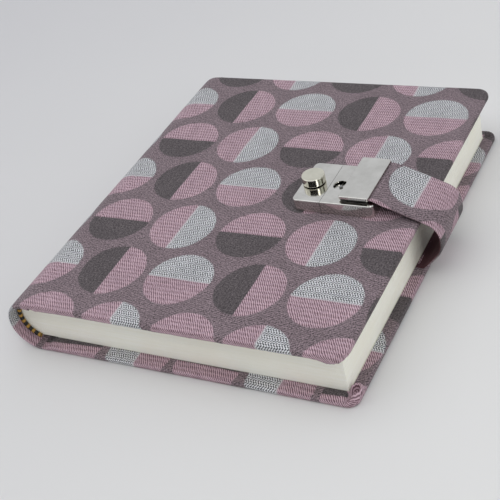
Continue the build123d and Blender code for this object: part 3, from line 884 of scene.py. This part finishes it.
def strap_line():
    """The strap's middle line, from the back cover to the hasp: its places."""
    corners = [
        Vector((back_edge - 9 * MM, tail_z)),
        Vector((rise_x, tail_z)),
        Vector((strap_mid_x, tail_z + (strap_mid_x - rise_x) * math.tan(RISE))),
        Vector((strap_mid_x, level_z - (strap_mid_x - level_x) * math.tan(slope))),
        Vector((level_x, level_z)),
        Vector((plate_low.x + 0.8 * MM, level_z)),
    ]
    radii = (6.0 * MM, 9.0 * MM, 8.0 * MM, 9.0 * MM)
    points = [corners[0]]
    for before, corner, after, radius in zip(corners, corners[1:], corners[2:], radii):
        into = (corner - before).normalized()
        out = (after - corner).normalized()
        turn = math.acos(between(into.dot(out), -1, 1))
        start = corner - into * (radius * math.tan(turn / 2))
        side = Vector((-into.y, into.x))
        if side.dot(out) < 0:
            side = -side
        centre = start + side * radius
        points.append(start)
        steps = max(4, int(radius * turn / (0.9 * MM)))
        for i in range(1, steps + 1):
            angle = turn * i / steps
            points.append(centre - side * radius * math.cos(angle)
                          + into * radius * math.sin(angle))
    points.append(corners[-1])
    dense = [points[0]]
    for point in points[1:]:
        start = dense[-1]
        pieces = max(1, int((point - start).length / (1.2 * MM)))
        for i in range(1, pieces + 1):
            dense.append(start.lerp(point, i / pieces))
    return dense


def strap():
    """The folded cloth strap, in two pieces that bend at its two hinge lines."""
    line = strap_line()
    lengths = [0.0]
    for a, b in zip(line, line[1:]):
        lengths.append(lengths[-1] + (b - a).length)
    plate_at = lengths[-1] - (plate_high.x - plate_low.x) + 0.8 * MM
    headings = []
    for i in range(len(line)):
        a, b = line[max(0, i - 1)], line[min(len(line) - 1, i + 1)]
        headings.append((b - a).normalized())
    half_thick = STRAP / 2
    across_steps, side_steps = 26, 6

    def middle(x, z):
        """The strap's centre across the book: it slants between the plate and the edge."""
        if z < over_z - 3 * MM:
            return STRAP_LOW_Y * MM
        share = between((x - plate_high.x) / (strap_mid_x - 5 * MM - plate_high.x))
        return (STRAP_TOP_Y + (STRAP_LOW_Y - STRAP_TOP_Y) * share) * MM

    def cross(width):
        """A flat loop with rounded sides: place across, height, cloth length."""
        inner = width / 2 - half_thick
        turns = [math.pi * i / (side_steps + 1) for i in range(1, side_steps + 1)]
        loop = []
        for i in range(across_steps + 1):
            v = -inner + 2 * inner * i / across_steps
            loop.append((v, half_thick, v))
        for angle in turns:
            loop.append((inner + half_thick * math.sin(angle), half_thick * math.cos(angle),
                         inner + half_thick * angle))
        for i in range(across_steps + 1):
            v = inner - 2 * inner * i / across_steps
            loop.append((v, -half_thick, inner + half_thick * math.pi + (inner - v)))
        for angle in turns:
            loop.append((-inner - half_thick * math.sin(angle), -half_thick * math.cos(angle),
                         -inner - half_thick * (math.pi - angle)))
        return loop

    def build(name, first, last):
        """One piece of the strap, between two of the line's places."""
        verts, uvs = [], []
        for i in range(first, last + 1):
            place, heading = line[i], headings[i]
            normal = Vector((heading.y, -heading.x))
            if normal.x < 0 and normal.y < 0:
                normal = -normal
            s = (lengths[i] - plate_at) / MM
            pinch = STRAP_PINCH * between((s - PINCH_FROM) / -PINCH_FROM)
            loop = cross((STRAP_WIDTH - pinch) * MM)
            centre_y = middle(place.x, place.y)
            dent = PLATE_DENT * MM * max(0.0, 1 - abs(s - 0.2) / 1.8)
            for v, h, along in loop:
                lift = h
                if s < -1.5:
                    side_fall = max(0.0, abs(v) / (14 * MM) - 0.8) * 0.2 * MM
                    lift += 0.12 * MM * uneven(lengths[i] * 2.0, v, 0.012, 9.0) - side_fall
                if h > 0:
                    lift -= dent
                verts.append((place.x + normal.x * lift, centre_y + v,
                              place.y + normal.y * lift))
                uvs.append((COLUMNS["pink_silver"] + s + STRAP_PATTERN[0],
                            ROW_B - (along / MM + centre_y / MM - STRAP_PATTERN[1])))
        rings, count = last - first + 1, len(loop)
        faces = grid_faces(rings, count, closed=True) + end_faces(rings, count)
        piece = make(name, verts, faces, strap_cloth, uvs)
        # The underside's faces take the dark material: painted shade where the inside of the loop
        # lies in shadow.
        piece.data.materials.append(strap_painted_shade)
        shade_faces_from = across_steps + 1 + side_steps // 2
        for j in range(rings - 1):
            for k in range(shade_faces_from, shade_faces_from + across_steps + side_steps):
                piece.data.polygons[j * count + k].material_index = 1
        return piece

    split = min(range(len(line)), key=lambda i: (line[i] - Vector((strap_mid_x, mid_z))).length)
    lower = build("strap_lower_cloth", 0, split)
    upper = build("strap_upper_cloth", split, len(line) - 1)
    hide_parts("strap_bend", "strap_tail")
    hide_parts("strap_end")
    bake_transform(lower)
    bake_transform(upper)


strap()


# Latch spring

def latch_coil():
    """The spring between its post and the bolt: it shortens as the knob slides."""
    low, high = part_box("latch_spring")
    wire = 0.2 * MM
    coil_r = (high.z - low.z) / 2 - wire
    centre = (low + high) / 2
    turns, per_turn, around = 4, 28, 8
    steps = turns * per_turn
    advance = (high.x - low.x - 2 * wire) / steps
    pitch = advance * per_turn / (2 * math.pi)
    verts = []
    for i in range(steps + 1):
        angle = 2 * math.pi * i / per_turn
        outward = Vector((0, math.sin(angle), -math.cos(angle)))
        ahead = Vector((pitch, coil_r * math.cos(angle), coil_r * math.sin(angle))).normalized()
        across = ahead.cross(outward)
        middle = Vector((low.x + wire + advance * i, centre.y, centre.z)) + outward * coil_r
        for k in range(around):
            turn = 2 * math.pi * k / around
            verts.append(middle + (outward * math.cos(turn) + across * math.sin(turn)) * wire)
    faces = grid_faces(steps + 1, around, closed=True) + end_faces(steps + 1, around)
    piece = make("latch_coil", verts, faces, steel)
    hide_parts("latch_spring")
    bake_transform(piece)


latch_coil()


# Camera, light and floor

# The photograph's camera, found from the cover's corners: the directions to its right and
# down, its place (x from the middle of the spine's curve), and its focal length in pixels.
PHOTO_RIGHT = (0.87604, 0.42959, -0.21909)
PHOTO_DOWN = (0.1114, -0.62232, -0.7748)
PHOTO_PLACE = (0.29722, -0.33928, 0.29742)
PHOTO_FOCAL = 1109.65
PHOTO_WIDTH = 500
SENSOR_WIDTH = 36.0

# Half of the floor's width, and the radius of the dark cards' curve, in metres.
FLOOR_REACH = 40
CARD_RADIUS = 1.3
CARD_STEPS = 12


def photo_camera():
    """The camera that took the photograph."""
    right = Vector(PHOTO_RIGHT).normalized()
    down = Vector(PHOTO_DOWN)
    down = (down - right * down.dot(right)).normalized()
    forward = right.cross(down)
    data = bpy.data.cameras.new("camera")
    data.sensor_fit = "HORIZONTAL"
    data.sensor_width = SENSOR_WIDTH
    data.lens = PHOTO_FOCAL / PHOTO_WIDTH * SENSOR_WIDTH
    data.clip_start = 0.01
    data.clip_end = 20.0
    camera = bpy.data.objects.new("camera", data)
    bpy.context.scene.collection.objects.link(camera)
    turn = Matrix((right, -down, -forward)).transposed()
    place = Vector(PHOTO_PLACE) + Vector((spine_x, 0, 0))
    camera.matrix_world = Matrix.Translation(place) @ turn.to_4x4()
    bpy.context.scene.camera = camera


def floor_material():
    """Pale matte paper backdrop with a faint mottle, and painted light that makes it brighter
    toward one side.
    """
    g = Graph("floor")
    where = g.object_coords()
    xyz = g.split(where)
    # Painted light: the colour runs from darker to brighter along this slant, standing in for the
    # room's uneven light.
    painted_light_slope = g.math("MULTIPLY_ADD", xyz[0], 0.958, g.math("MULTIPLY", xyz[1], -0.287))
    painted_light_slope = g.layered(painted_light_slope, (0.08, g.noise(where, 7.0, 3.0, 0.5)))
    return g.finish(g.tone(painted_light_slope, -0.36, 0.44, ((205, 204, 205), (242, 241, 237))), 0.9,
                    Specular_IOR_Level=0.2)


def stage_floor():
    """A wide flat floor."""
    r = FLOOR_REACH
    verts = [(-r, -r, 0), (r, -r, 0), (r, r, 0), (-r, r, 0)]
    make("floor", verts, [(0, 1, 2, 3)], floor_material())


def area_light(name, place, aim, size, power, colour=(1, 1, 1)):
    """A rectangular lamp at a place, turned toward what it lights."""
    data = bpy.data.lights.new(name, "AREA")
    data.shape = "RECTANGLE"
    data.size, data.size_y = size
    data.energy = power
    data.color = colour
    lamp = bpy.data.objects.new(name, data)
    lamp.location = place
    lamp.rotation_euler = (Vector(aim) - Vector(place)).to_track_quat("-Z", "Y").to_euler()
    bpy.context.scene.collection.objects.link(lamp)


def card(name, start, end, low, high, colour):
    """A curved dark card round the stage, between two compass angles and two heights."""
    verts, faces = [], []
    for i in range(CARD_STEPS + 1):
        angle = math.radians(start + (end - start) * i / CARD_STEPS)
        for z in (low, high):
            verts.append((CARD_RADIUS * math.cos(angle), CARD_RADIUS * math.sin(angle), z))
    for i in range(CARD_STEPS):
        faces.append((2 * i, 2 * i + 2, 2 * i + 3, 2 * i + 1))
    obj = make(name, verts, faces, plain(name, colour, 0.95, 3.0, 2))


photo_camera()
stage_floor()
card("card_left", -128, -46, 0.55, 1.5, (14, 14, 13))
card("card_right", -20, 30, 0.55, 1.3, (62, 60, 40))
area_light("key", (-0.5, -0.3, 1.6), (0, 0, 0), (2.2, 2.2), 9.5)
area_light("side", (1.25, 0.0, 0.6), (0, 0, 0.0), (0.5, 1.3), 1.3, (0.9, 0.96, 1.0))
area_light("strip", (0.95, -0.72, 0.95), (0, 0, 0.02), (0.25, 1.1), 2.6)
world = bpy.data.worlds.new("world")
world.use_nodes = True
sky = world.node_tree.nodes["Background"].inputs
sky["Color"].default_value = (0.93, 0.95, 1.0, 1.0)
sky["Strength"].default_value = 0.76
bpy.context.scene.world = world
bpy.context.scene.view_settings.view_transform = "Standard"
